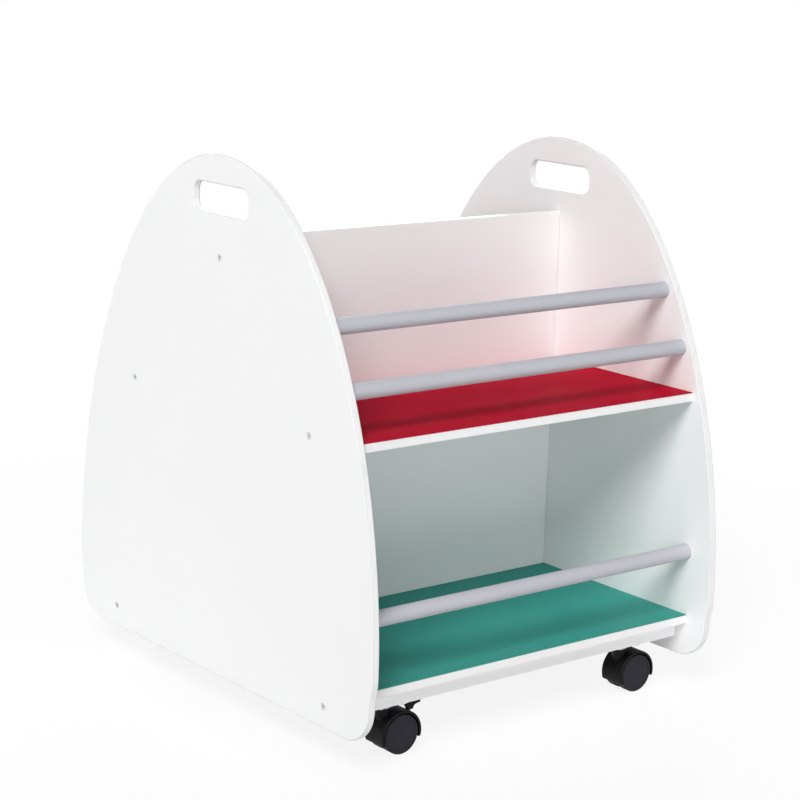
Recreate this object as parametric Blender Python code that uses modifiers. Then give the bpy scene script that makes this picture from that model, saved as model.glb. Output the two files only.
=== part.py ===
"""Mobile double-sided bookcase on four twin-wheel swivel casters.

Two egg-shaped side panels are joined by two shelves, two upright dividers, two rails and six round bars.
Metres, +Z up. The origin is on the floor under the middle of the case, and the front looks along -Y.
"""

import math

import bmesh
import bpy
from mathutils import Matrix, Vector

# Gap between pieces that touch
fit_gap = 0.0003

# Side panels
case_width = 0.561
panel_thickness = 0.010
panel_height = 0.652
panel_depth = 0.641
panel_belly_height = 0.088
panel_flank_pull = 0.279
panel_crown_pull = 0.186
panel_corner_radius = 0.046
panel_foot_taper = 0.005
panel_edge_radius = 0.002
slot_length = 0.116
slot_height = 0.0355
slot_corner_radius = 0.0125
slot_below_top = 0.0545

# Shelves, dividers and rails
shelf_thickness = 0.012
laminate_thickness = 0.001
laminate_margin = 0.0004
board_edge_radius = 0.0008
mid_shelf_height = 0.3517
mid_shelf_setback = 0.0104
bottom_shelf_height = 0.0572
bottom_shelf_setback = 0.0368
divider_thickness = 0.012
divider_below_top = 0.100
rail_height = 0.022
rail_width = 0.072
rail_setback = 0.0186

# Round bars: the height of each axis above the shelf under it, and how far it is behind the panel's edge
bar_diameter = 0.020
bar_wall = 0.0015
bar_seat_floor = 0.004
upper_bar_height = 0.1236
upper_bar_setback = 0.0227
middle_bar_height = 0.0542
middle_bar_setback = 0.0189
lower_bar_height = 0.0833
lower_bar_setback = 0.0446

# Connector screws through the side panels
screw_length = 0.045
screw_diameter = 0.005
screw_head_diameter = 0.009
screw_rim = 0.0006
screw_recess = 0.0003
screw_point = 0.003
socket_diameter = 0.0042
socket_depth = 0.0018
divider_screw_drop = 0.025
shelf_screw_inset = 0.082
rail_screw_rise = 0.0045

# Dowels that hold the dividers to the shelves
dowel_diameter = 0.006
dowel_length = 0.024
dowel_chamfer = 0.0008
dowel_seat_floor = 0.004
lower_dowel_spacing = 0.360
upper_dowel_spacing = 0.200

# Caster wheels
wheel_diameter = 0.050
wheel_width = 0.0125
wheel_edge_radius = 0.0015
wheel_dish_depth = 0.0006
wheel_dish_margin = 0.0035
wheel_bore_floor = 0.0045
wheel_side_gap = 0.0005
axle_diameter = 0.006

# Caster hood, swivel and mounting plate
caster_inset = 0.0738
caster_offset = 0.008
caster_trail = 0.017
tread_clearance = 0.0018
hood_wall = 0.0032
hood_edge_radius = 0.0008
hood_end_radius = 0.0026
hood_rear_angle = math.radians(-16)
hood_front_angle = math.radians(204)
web_thickness = 0.009
hub_radius = 0.008
boss_radius = 0.010
boss_rise = 0.0036
boss_skirt = 0.018
boss_foot_radius = 0.006
boss_edge = 0.0008
stem_diameter = 0.008
stem_floor = 0.0006
neck_radius = 0.009
neck_height = 0.0074
plate_size = 0.044
plate_thickness = 0.0025
plate_corner_radius = 0.006
plate_hole_diameter = 0.0046
plate_hole_spacing = 0.032

# Brake pedal, measured from its pivot: a sloping tongue over a wedge that narrows to a neck
pedal_angle = math.radians(45)
pedal_slope = math.radians(10.8)
pedal_width = 0.006
pedal_thickness = 0.003
pedal_heel = 0.003
pedal_heel_height = 0.0084
pedal_reach = 0.0198
pedal_tip_bow = 0.004
pedal_edge = 0.0005
pedal_neck = 0.0033
pedal_neck_height = 0.0036
pedal_wedge_height = 0.0026
pedal_wedge_reach = 0.0076
pedal_wedge_end = 0.0125
pedal_wedge_pull = 0.0028
pedal_barrel_radius = 0.0026
pedal_ear_radius = 0.0023
pedal_ear_width = 0.003
pedal_stub_radius = 0.0011
pedal_slot_room = 0.0015

# Numbers of sides on round pieces; with 26 sides a wheel has a flat against the floor
wheel_sides = 26
bar_sides = 16
small_sides = 10
hole_sides = 8

# Heights that follow from the caster's stack, floor upwards
wheel_radius = wheel_diameter / 2
tread_radius = wheel_radius / math.cos(math.pi / wheel_sides)
chamber_radius = tread_radius + tread_clearance
hood_radius = chamber_radius + hood_wall
boss_top = wheel_radius + hood_radius + boss_rise
plate_bottom = boss_top + fit_gap + neck_height
rail_bottom = plate_bottom + plate_thickness + fit_gap
rail_top = rail_bottom + rail_height
bottom_shelf_bottom = rail_top + fit_gap
bottom_shelf_top = bottom_shelf_bottom + shelf_thickness
panel_bottom = bottom_shelf_top - bottom_shelf_height
panel_top = panel_bottom + panel_height
mid_shelf_top = panel_bottom + mid_shelf_height
mid_shelf_bottom = mid_shelf_top - shelf_thickness
divider_top = panel_top - divider_below_top

# Widths between the side panels
inner_half = case_width / 2 - panel_thickness
board_half = inner_half - fit_gap
caster_x = inner_half - caster_inset

parts = bpy.data.collections.new("mobile_bookcase")
cutters = bpy.data.collections.new("cutters")


def clear_scene():
    for old in list(bpy.data.objects):
        bpy.data.objects.remove(old, do_unlink=True)
    for collection in (parts, cutters):
        bpy.context.scene.collection.children.link(collection)
    cutters.hide_render = True


def finish(name, colour, roughness, metallic=0.0):
    material = bpy.data.materials.new(name)
    material.use_nodes = True
    shader = material.node_tree.nodes["Principled BSDF"]
    shader.inputs["Base Color"].default_value = (*colour, 1.0)
    shader.inputs["Roughness"].default_value = roughness
    shader.inputs["Metallic"].default_value = metallic
    return material


white_board = finish("white_board", (0.86, 0.86, 0.86), 0.45)
red_laminate = finish("red_laminate", (0.45, 0.01, 0.03), 0.25)
green_laminate = finish("green_laminate", (0.02, 0.26, 0.19), 0.30)
grey_tube = finish("grey_tube", (0.50, 0.51, 0.54), 0.40, 0.3)
zinc_screw = finish("zinc_screw", (0.55, 0.55, 0.57), 0.35, 1.0)
beech_dowel = finish("beech_dowel", (0.55, 0.36, 0.20), 0.70)
black_nylon = finish("black_nylon", (0.012, 0.012, 0.014), 0.45)
wheel_nylon = finish("wheel_nylon", (0.030, 0.029, 0.034), 0.50)
caster_steel = finish("caster_steel", (0.40, 0.40, 0.42), 0.30, 1.0)


# Blender helpers

def add_object(name, mesh, material, location=(0, 0, 0), rotation=(0, 0, 0), parent=None):
    """A named part with its origin at location."""
    mesh.materials.clear()
    mesh.materials.append(material)
    mesh.shade_smooth()
    mesh.set_sharp_from_angle(angle=math.radians(35))
    part = bpy.data.objects.new(name, mesh)
    part.location = location
    part.rotation_euler = rotation
    part.parent = parent
    parts.objects.link(part)
    return part


def add_cutter(name, mesh, location=(0, 0, 0), rotation=(0, 0, 0)):
    cutter = bpy.data.objects.new(name, mesh)
    cutter.location = location
    cutter.rotation_euler = rotation
    cutter.hide_render = True
    cutter.display_type = "WIRE"
    cutters.objects.link(cutter)
    return cutter


def combine(target, tool, operation):
    modifier = target.modifiers.new(operation.lower(), "BOOLEAN")
    modifier.operation = operation
    modifier.object = tool


def baked(source):
    """The mesh of an object with its modifiers applied; the object is removed."""
    graph = bpy.context.evaluated_depsgraph_get()
    mesh = bpy.data.meshes.new_from_object(source.evaluated_get(graph))
    mesh.name = source.name
    bpy.data.objects.remove(source, do_unlink=True)
    return mesh


def box_mesh(name, size):
    cage = bmesh.new()
    bmesh.ops.create_cube(cage, size=1.0, matrix=Matrix.Diagonal((*size, 1.0)))
    mesh = bpy.data.meshes.new(name)
    cage.to_mesh(mesh)
    cage.free()
    return mesh


def cylinder_mesh(name, radius, length, sides, centres=((0, 0, 0),)):
    """Cylinders along Z, one for each centre, in one mesh."""
    cage = bmesh.new()
    for centre in centres:
        place = Matrix.Translation(centre)
        bmesh.ops.create_cone(
            cage, cap_ends=True, segments=sides, radius1=radius, radius2=radius, depth=length, matrix=place
        )
    mesh = bpy.data.meshes.new(name)
    cage.to_mesh(mesh)
    cage.free()
    return mesh


def turned_mesh(name, profile, sides, ring=False):
    """A mesh turned about Z. The (radius, height) points run down the outer side, and a ring is closed."""
    points = [(radius, 0, height) for radius, height in profile]
    edges = [(i, i + 1) for i in range(len(points) - 1)]
    if ring:
        edges.append((len(points) - 1, 0))
    line = bpy.data.meshes.new(name)
    line.from_pydata(points, edges, [])
    blank = add_cutter(name, line)
    turn = blank.modifiers.new("turn", "SCREW")
    turn.steps = sides
    turn.render_steps = sides
    turn.use_merge_vertices = True
    turn.merge_threshold = 0.00001
    return baked(blank)


def arc(centre, radius, start, end, count):
    """Points on an arc from start to end in radians, both ends included."""
    angles = [start + (end - start) * i / (count - 1) for i in range(count)]
    return [(centre[0] + radius * math.cos(a), centre[1] + radius * math.sin(a)) for a in angles]


def bezier_point(ends, t):
    weights = ((1 - t) ** 3, 3 * t * (1 - t) ** 2, 3 * t * t * (1 - t), t**3)
    return tuple(sum(w * p[axis] for w, p in zip(weights, ends)) for axis in (0, 1))


def rounded_rectangle(width, height, radius, centre=(0, 0), count=6):
    points = []
    for quarter, (across, up) in enumerate(((1, 1), (-1, 1), (-1, -1), (1, -1))):
        corner = (centre[0] + across * (width / 2 - radius), centre[1] + up * (height / 2 - radius))
        start = quarter * math.pi / 2
        points += arc(corner, radius, start, start + math.pi / 2, count)
    return points


def extruded_mesh(name, outlines, thickness, edge_radius=0.0, edge_steps=1):
    """A plate along Z from closed outlines, the rim first and then the holes. Its edges can be rounded."""
    curve = bpy.data.curves.new(name, "CURVE")
    curve.dimensions = "2D"
    curve.fill_mode = "BOTH"
    curve.extrude = thickness / 2 - edge_radius
    curve.bevel_depth = edge_radius
    curve.bevel_resolution = edge_steps
    curve.offset = -edge_radius
    for outline in outlines:
        spline = curve.splines.new("POLY")
        spline.points.add(len(outline) - 1)
        for point, (x, y) in zip(spline.points, outline):
            point.co = (x, y, 0, 1)
        spline.use_cyclic_u = True
    blank = bpy.data.objects.new(name, curve)
    cutters.objects.link(blank)
    mesh = baked(blank)
    cage = bmesh.new()
    cage.from_mesh(mesh)
    bmesh.ops.remove_doubles(cage, verts=cage.verts, dist=0.00001)
    bmesh.ops.recalc_face_normals(cage, faces=cage.faces)
    cage.to_mesh(mesh)
    cage.free()
    return mesh


# Side panels

def flank_curve():
    """Control points of the side of the panel, from its belly to its crown, as (depth, height)."""
    belly = (panel_depth / 2, panel_belly_height)
    crown = (0.0, panel_height)
    return (
        belly,
        (belly[0], belly[1] + panel_flank_pull),
        (crown[0] + panel_crown_pull, crown[1]),
        crown,
    )


def half_depth_at(height):
    """Half the panel's depth at a height above its bottom; below the belly the taper is left out."""
    if height <= panel_belly_height:
        return panel_depth / 2
    low, high = 0.0, 1.0
    for _ in range(40):
        middle = (low + high) / 2
        if bezier_point(flank_curve(), middle)[1] < height:
            low = middle
        else:
            high = middle
    return bezier_point(flank_curve(), low)[0]


def panel_outline(corner_count=7, foot_count=2, flank_count=20):
    foot = panel_depth / 2 - panel_foot_taper
    corner_centre = (foot - panel_corner_radius, panel_corner_radius)
    corner = arc(corner_centre, panel_corner_radius, -math.pi / 2, 0, corner_count)
    rise = (panel_belly_height - panel_corner_radius) / 2
    belly = flank_curve()[0]
    foot_curve = (
        corner[-1],
        (corner[-1][0], corner[-1][1] + rise),
        (belly[0], belly[1] - rise),
        belly,
    )
    half = corner[:-1]
    half += [bezier_point(foot_curve, i / foot_count) for i in range(foot_count)]
    half += [bezier_point(flank_curve(), i / flank_count) for i in range(flank_count)]
    crown = flank_curve()[-1]
    return half + [crown] + [(-depth, height) for depth, height in reversed(half)]


def side_panel(name, side, screw_spaces, bar_places):
    slot = rounded_rectangle(slot_length, slot_height, slot_corner_radius, (0, panel_height - slot_below_top))
    mesh = extruded_mesh(name, [panel_outline(), slot[::-1]], panel_thickness, panel_edge_radius)
    middle = side * (case_width / 2 - panel_thickness / 2)
    panel = add_object(name, mesh, white_board, (middle, 0, panel_bottom), (math.pi / 2, 0, math.pi / 2))
    for space in screw_spaces:
        combine(panel, space, "DIFFERENCE")
    seat_length = 2 * (panel_thickness - bar_seat_floor)
    seat_mesh = cylinder_mesh(name + "_bar_seats", bar_diameter / 2 + fit_gap, seat_length, bar_sides)
    for number, (y, z) in enumerate(bar_places):
        place = (side * inner_half, y, z)
        seat = add_cutter(f"{name}_bar_seat_{number}", seat_mesh, place, (0, math.pi / 2, 0))
        combine(panel, seat, "DIFFERENCE")
    return panel


# Boards

def board(name, low, high, material, edge=board_edge_radius):
    low = Vector(low)
    high = Vector(high)
    part = add_object(name, box_mesh(name, high - low), material, (low + high) / 2)
    bevel = part.modifiers.new("edges", "BEVEL")
    bevel.width = edge
    bevel.segments = 1
    return part


def shelf(name, laminate_name, top, half_depth, laminate_finish):
    """A white board with coloured laminate on its top face, in front of and behind the divider."""
    core = board(
        name,
        (-board_half, -half_depth, top - shelf_thickness),
        (board_half, half_depth, top - laminate_thickness - fit_gap),
        white_board,
    )
    near = divider_thickness / 2 + fit_gap
    far = half_depth - laminate_margin
    half_width = board_half - laminate_margin
    for face_name, inner, outer in (("front", -far, -near), ("rear", near, far)):
        board(
            f"{face_name}_{laminate_name}",
            (-half_width, inner, top - laminate_thickness),
            (half_width, outer, top),
            laminate_finish,
            laminate_thickness / 4,
        )
    return core


def divider(name, bottom, top):
    return board(
        name,
        (-board_half, -divider_thickness / 2, bottom),
        (board_half, divider_thickness / 2, top),
        white_board,
    )


def rail(name, side, middle):
    return board(
        name,
        (-board_half, side * middle - rail_width / 2, rail_bottom),
        (board_half, side * middle + rail_width / 2, rail_top),
        white_board,
    )


def dowels(names, seat_top, direction, spacing, shelf_part, divider_part):
    """Two dowels between a shelf and a divider. Direction leads from the shelf's face to the divider."""
    seat_depth = shelf_thickness - dowel_seat_floor
    middle = seat_top + direction * (dowel_length / 2 - seat_depth)
    radius = dowel_diameter / 2
    half = dowel_length / 2
    profile = (
        (0, half),
        (radius - dowel_chamfer, half),
        (radius, half - dowel_chamfer),
        (radius, dowel_chamfer - half),
        (radius - dowel_chamfer, -half),
        (0, -half),
    )
    mesh = turned_mesh("dowel", profile, hole_sides)
    hole = cylinder_mesh("dowel_hole", radius + fit_gap, dowel_length + 2 * fit_gap, hole_sides)
    for name, side in zip(names, (-1, 1)):
        place = (side * spacing / 2, 0, middle)
        add_object(name, mesh, beech_dowel, place)
        space = add_cutter(name + "_hole", hole, place)
        for part in (shelf_part, divider_part):
            combine(part, space, "DIFFERENCE")


# Bars and screws

def bar_mesh():
    half = inner_half + panel_thickness - bar_seat_floor - fit_gap
    outer = bar_diameter / 2
    inner = outer - bar_wall
    profile = ((outer, half), (outer, -half), (inner, -half), (inner, half))
    return turned_mesh("bar", profile, bar_sides, ring=True)


def screw_profile(extra=0.0, above=0.0):
    """Countersunk screw from its face at height 0 down to its point, grown by extra to make the hole."""
    head = screw_head_diameter / 2
    shank = screw_diameter / 2
    cone_end = -screw_rim - (head - shank)
    return (
        (0, above),
        (head + extra, above),
        (head + extra, -screw_rim - extra),
        (shank + extra, cone_end - extra),
        (shank + extra, -screw_length + screw_point),
        (shank / 2 + extra, -screw_length - extra),
        (0, -screw_length - extra),
    )


def screw_mesh():
    blank = add_cutter("screw", turned_mesh("screw", screw_profile(), small_sides))
    socket = cylinder_mesh("screw_socket", socket_diameter / 2, 2 * socket_depth, 6)
    combine(blank, add_cutter("screw_socket", socket), "DIFFERENCE")
    return baked(blank)


def screws(side_name, side, places):
    """Screws through one side panel at (y, z) places by name, and the spaces that they need."""
    mesh = screw_mesh()
    space_mesh = turned_mesh("screw_space", screw_profile(fit_gap, screw_recess + fit_gap), small_sides)
    turn = (0, side * math.pi / 2, 0)
    spaces = {}
    for place_name, (y, z) in places.items():
        location = (side * (case_width / 2 - screw_recess), y, z)
        add_object(f"{side_name}_{place_name}_screw", mesh, zinc_screw, location, turn)
        spaces[place_name] = add_cutter(f"{side_name}_{place_name}_space", space_mesh, location, turn)
    return spaces


# Casters

def wheel_mesh():
    """One wheel of a twin, turned about Z with its inner face at height 0 and its smooth disc on top."""
    edge = wheel_edge_radius
    disc = tread_radius - wheel_dish_margin
    bore = axle_diameter / 2 + fit_gap
    profile = (
        (0, wheel_width - wheel_dish_depth),
        (disc - wheel_dish_depth, wheel_width - wheel_dish_depth),
        (disc, wheel_width),
        (tread_radius - edge, wheel_width),
        (tread_radius, wheel_width - edge),
        (tread_radius, 0),
        (bore, 0),
        (bore, wheel_width - wheel_bore_floor),
        (0, wheel_width - wheel_bore_floor),
    )
    return turned_mesh("wheel", profile, wheel_sides)


def axle_mesh():
    half = web_thickness / 2 + wheel_side_gap + wheel_width - wheel_bore_floor - fit_gap
    return cylinder_mesh("axle", axle_diameter / 2, 2 * half, small_sides)


def hood_half_width():
    return web_thickness / 2 + wheel_side_gap + wheel_width


def pedal_pivot():
    """The pedal's pivot in the caster's frame, as (x, z), in the middle of the hood's wall."""
    reach = hood_radius - hood_wall / 2
    return (caster_trail + reach * math.cos(pedal_angle), wheel_radius + reach * math.sin(pedal_angle))


def stem_bottom():
    """The stem ends above the wheel chambers, whose arc is highest at the hole's rear edge."""
    hole_edge = caster_trail - stem_diameter / 2 - fit_gap
    chamber_top = wheel_radius + math.sqrt(chamber_radius**2 - hole_edge**2)
    return chamber_top + stem_floor + fit_gap


def hood_outline():
    """A drum sector round the wheels: a rim with rounded ends, and a hub at its centre."""
    inset = hood_radius - hood_end_radius
    turn = math.asin(hood_end_radius / inset)
    rear = hood_rear_angle + turn
    front = hood_front_angle - turn
    rear_centre = (inset * math.cos(rear), inset * math.sin(rear))
    front_centre = (inset * math.cos(front), inset * math.sin(front))
    rim = arc(rear_centre, hood_end_radius, hood_rear_angle - math.pi / 2, rear, 4)
    rim += arc((0, 0), hood_radius, rear, front, 22)[1:-1]
    rim += arc(front_centre, hood_end_radius, front, hood_front_angle + math.pi / 2, 4)
    return rim + arc((0, 0), hub_radius, hood_front_angle, 2 * math.pi + hood_rear_angle, 9)


def hood_blank():
    """The hood before it is hollowed."""
    mesh = extruded_mesh("hood", [hood_outline()], 2 * hood_half_width(), hood_edge_radius, 0)
    return add_cutter("hood", mesh, (caster_trail, 0, wheel_radius), (math.pi / 2, 0, 0))


def swivel_boss():
    """The round housing that holds the stem, tapered where it runs into the hood."""
    profile = (
        (0, boss_top),
        (boss_radius - boss_edge, boss_top),
        (boss_radius, boss_top - boss_edge),
        (boss_radius, boss_top - boss_skirt / 2),
        (boss_foot_radius, boss_top - boss_skirt),
        (0, boss_top - boss_skirt),
    )
    return add_cutter("boss", turned_mesh("boss", profile, bar_sides))


def wheel_chambers():
    middle = web_thickness / 2 + hood_half_width()
    length = 2 * hood_half_width()
    centres = ((0, 0, middle), (0, 0, -middle))
    mesh = cylinder_mesh("chambers", chamber_radius, length, wheel_sides, centres)
    return add_cutter("chambers", mesh, (caster_trail, 0, wheel_radius), (math.pi / 2, 0, 0))


def cross_hole(name, radius, half_length, x, z):
    """A cutter along Y through (x, z)."""
    mesh = cylinder_mesh(name, radius, 2 * half_length, small_sides)
    return add_cutter(name, mesh, (x, 0, z), (math.pi / 2, 0, 0))


def pedal_ears():
    """The cheeks on the hood that hold the pedal's stubs, as one bar that the pedal's slot parts in two."""
    x, z = pedal_pivot()
    half = pedal_width / 2 + fit_gap + pedal_ear_width
    return cross_hole("ears", pedal_ear_radius, half, x, z)


def pedal_slot():
    x, z = pedal_pivot()
    half_width = pedal_width / 2 + fit_gap
    room = pedal_barrel_radius + pedal_slot_room
    low = Vector((x - pedal_barrel_radius - 2 * fit_gap, -half_width, z - room))
    high = Vector((x + room, half_width, z + hood_radius))
    return add_cutter("pedal_slot", box_mesh("pedal_slot", high - low), (low + high) / 2)


def hood_mesh(braked):
    """A caster hood in the caster's frame: the swivel axis is Z and the floor is at height 0."""
    hood = hood_blank()
    tools = [(swivel_boss(), "UNION")]
    if braked:
        tools.append((pedal_ears(), "UNION"))
    tools.append((wheel_chambers(), "DIFFERENCE"))
    stem_depth = boss_top - stem_bottom() + fit_gap
    stem_hole = cylinder_mesh("stem_hole", stem_diameter / 2 + fit_gap, 2 * stem_depth, bar_sides)
    tools.append((add_cutter("stem_hole", stem_hole, (0, 0, boss_top)), "DIFFERENCE"))
    axle_room = axle_diameter / 2 + fit_gap
    axle_hole = cross_hole("axle_hole", axle_room, web_thickness, caster_trail, wheel_radius)
    tools.append((axle_hole, "DIFFERENCE"))
    if braked:
        tools.append((pedal_slot(), "DIFFERENCE"))
        pivot_half = pedal_width / 2 + pedal_ear_width + 2 * fit_gap
        pivot = cross_hole("pivot_hole", pedal_stub_radius + fit_gap, pivot_half, *pedal_pivot())
        tools.append((pivot, "DIFFERENCE"))
    for tool, operation in tools:
        combine(hood, tool, operation)
    place = hood.matrix_basis.copy()
    mesh = baked(hood)
    mesh.transform(place)
    return mesh


def plate_mesh():
    """The steel mounting plate with its swivel neck and stem, in the caster's frame."""
    outline = rounded_rectangle(plate_size, plate_size, plate_corner_radius, count=4)
    plate = extruded_mesh("plate", [outline], plate_thickness)
    blank = add_cutter("plate", plate, (0, 0, plate_bottom + plate_thickness / 2))
    stem_radius = stem_diameter / 2
    profile = (
        (0, plate_bottom + plate_thickness / 2),
        (neck_radius, plate_bottom + plate_thickness / 2),
        (neck_radius, boss_top + fit_gap),
        (stem_radius, boss_top + fit_gap),
        (stem_radius, stem_bottom()),
        (0, stem_bottom()),
    )
    combine(blank, add_cutter("neck", turned_mesh("neck", profile, bar_sides)), "UNION")
    half = plate_hole_spacing / 2
    corners = [(x, y, 0) for x in (-half, half) for y in (-half, half)]
    holes = cylinder_mesh("plate_holes", plate_hole_diameter / 2, 4 * plate_thickness, hole_sides, corners)
    combine(blank, add_cutter("plate_holes", holes, blank.location), "DIFFERENCE")
    place = blank.matrix_basis.copy()
    mesh = baked(blank)
    mesh.transform(place)
    return mesh


def pedal_outline(tip_count=6, wedge_count=5):
    """The pedal's side view as (x, z), from its pivot round the wedge, the tongue's tip and its heel."""
    along = Vector((math.cos(pedal_slope), math.sin(pedal_slope)))
    inward = Vector((along.y, -along.x))
    tip_radius = pedal_thickness / 2
    heel = Vector((-pedal_heel, pedal_heel_height))
    length = (pedal_reach + pedal_heel - tip_radius) / along.x
    tip_centre = heel + along * length + inward * tip_radius
    quarter = math.pi / 2
    tip = arc(tip_centre, tip_radius, pedal_slope - quarter, pedal_slope + quarter, tip_count)
    corner = Vector((pedal_wedge_reach, pedal_wedge_height))
    underside = heel + inward * pedal_thickness
    wedge_end = underside + along * ((pedal_wedge_end - underside.x) / along.x)
    hollow = (
        corner,
        corner + Vector((0, pedal_wedge_pull)),
        wedge_end - along * pedal_wedge_pull,
        wedge_end,
    )
    foot = [(0, 0), (pedal_barrel_radius, 0), (pedal_neck, pedal_wedge_height)]
    wedge = [bezier_point(hollow, i / wedge_count) for i in range(wedge_count + 1)]
    return foot + wedge + tip + [tuple(heel), (0, pedal_neck_height)]


def pedal_mesh():
    """The brake pedal about its pivot: the tongue's tip is bowed, and the neck has a barrel and two stubs."""
    blade = extruded_mesh("pedal", [pedal_outline()], pedal_width, pedal_edge, 0)
    blank = add_cutter("pedal", blade, (0, 0, 0), (math.pi / 2, 0, 0))
    bow = arc((pedal_reach - pedal_tip_bow, 0), pedal_tip_bow, -math.pi / 2, math.pi / 2, 13)
    back = [(-2 * pedal_tip_bow, pedal_tip_bow), (-2 * pedal_tip_bow, -pedal_tip_bow)]
    plan = extruded_mesh("pedal_plan", [bow + back], 2 * pedal_reach)
    combine(blank, add_cutter("pedal_plan", plan), "INTERSECT")
    combine(blank, cross_hole("barrel", pedal_barrel_radius, pedal_width / 2, 0, 0), "UNION")
    stub_half = pedal_width / 2 + pedal_ear_width
    combine(blank, cross_hole("stubs", pedal_stub_radius, stub_half, 0, 0), "UNION")
    place = blank.matrix_basis.copy()
    mesh = baked(blank)
    mesh.transform(place)
    return mesh


def casters(middle_y):
    """Four casters that trail along +X. Each hangs from an empty on its swivel axis."""
    plain_hood = hood_mesh(braked=False)
    braked_hood = hood_mesh(braked=True)
    plate = plate_mesh()
    wheel = wheel_mesh()
    axle = axle_mesh()
    pedal = pedal_mesh()
    pivot_x, pivot_z = pedal_pivot()
    axle_place = (caster_trail, 0, wheel_radius)
    face = web_thickness / 2 + wheel_side_gap
    for name, across, along, braked in (
        ("front_left", -1, -1, True),
        ("front_right", 1, -1, False),
        ("rear_left", -1, 1, False),
        ("rear_right", 1, 1, True),
    ):
        swivel = bpy.data.objects.new(name + "_swivel", None)
        swivel.location = (across * caster_x, along * middle_y, 0)
        parts.objects.link(swivel)
        add_object(name + "_plate", plate, caster_steel, parent=swivel)
        add_object(name + "_hood", braked_hood if braked else plain_hood, black_nylon, parent=swivel)
        add_object(name + "_axle", axle, caster_steel, axle_place, (math.pi / 2, 0, 0), swivel)
        front_place = (caster_trail, -face, wheel_radius)
        rear_place = (caster_trail, face, wheel_radius)
        add_object(name + "_wheel_a", wheel, wheel_nylon, front_place, (math.pi / 2, 0, 0), swivel)
        add_object(name + "_wheel_b", wheel, wheel_nylon, rear_place, (-math.pi / 2, 0, 0), swivel)
        if braked:
            add_object(name + "_pedal", pedal, black_nylon, (pivot_x, 0, pivot_z), parent=swivel)


def even_normals():
    """Keeps flat faces looking flat beside their holes."""
    for part in parts.objects:
        if part.modifiers:
            part.modifiers.new("even_normals", "WEIGHTED_NORMAL").keep_sharp = True


def build():
    clear_scene()
    mid_half = half_depth_at(mid_shelf_height) - mid_shelf_setback
    bottom_half = half_depth_at(bottom_shelf_height) - bottom_shelf_setback
    rail_middle = bottom_half - rail_setback - rail_width / 2

    mid_core = shelf("mid_shelf", "mid_laminate", mid_shelf_top, mid_half, red_laminate)
    bottom_core = shelf("bottom_shelf", "bottom_laminate", bottom_shelf_top, bottom_half, green_laminate)
    lower = divider("lower_divider", bottom_shelf_top - laminate_thickness, mid_shelf_bottom - fit_gap)
    upper = divider("upper_divider", mid_shelf_top - laminate_thickness, divider_top)
    rails = {"front": rail("front_rail", -1, rail_middle), "rear": rail("rear_rail", 1, rail_middle)}

    foot_names = ("lower_divider_foot_dowel_left", "lower_divider_foot_dowel_right")
    dowels(foot_names, bottom_shelf_top, 1, lower_dowel_spacing, bottom_core, lower)
    head_names = ("lower_divider_head_dowel_left", "lower_divider_head_dowel_right")
    dowels(head_names, mid_shelf_bottom, -1, lower_dowel_spacing, mid_core, lower)
    upper_names = ("upper_divider_foot_dowel_left", "upper_divider_foot_dowel_right")
    dowels(upper_names, mid_shelf_top, 1, upper_dowel_spacing, mid_core, upper)

    bar = bar_mesh()
    bar_places = []
    for row, shelf_height, rise, setback in (
        ("upper", mid_shelf_height, upper_bar_height, upper_bar_setback),
        ("middle", mid_shelf_height, middle_bar_height, middle_bar_setback),
        ("lower", bottom_shelf_height, lower_bar_height, lower_bar_setback),
    ):
        depth = half_depth_at(shelf_height + rise) - setback
        for face_name, along in (("front", -1), ("rear", 1)):
            place = (along * depth, panel_bottom + shelf_height + rise)
            bar_places.append(place)
            add_object(f"{face_name}_{row}_bar", bar, grey_tube, (0, *place), (0, math.pi / 2, 0))

    shelf_screw_y = mid_half - shelf_screw_inset
    shelf_screw_z = mid_shelf_top - shelf_thickness / 2
    rail_screw_z = rail_bottom + rail_screw_rise
    screw_places = {
        "divider": (0, divider_top - divider_screw_drop),
        "front_shelf": (-shelf_screw_y, shelf_screw_z),
        "rear_shelf": (shelf_screw_y, shelf_screw_z),
        "front_rail": (-rail_middle, rail_screw_z),
        "rear_rail": (rail_middle, rail_screw_z),
    }
    for side_name, side in (("left", -1), ("right", 1)):
        spaces = screws(side_name, side, screw_places)
        side_panel(side_name + "_panel", side, spaces.values(), bar_places)
        combine(upper, spaces["divider"], "DIFFERENCE")
        for face_name in ("front", "rear"):
            combine(mid_core, spaces[face_name + "_shelf"], "DIFFERENCE")
            combine(rails[face_name], spaces[face_name + "_rail"], "DIFFERENCE")

    casters(rail_middle + caster_offset)
    even_normals()


build()
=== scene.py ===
"""Looks of the mobile bookcase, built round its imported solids.

Metres, +Z up. The front looks along -Y and the origin is on the floor under the middle of the case.
"""

import math

import bmesh
import bpy
from mathutils import Matrix, Vector


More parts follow.
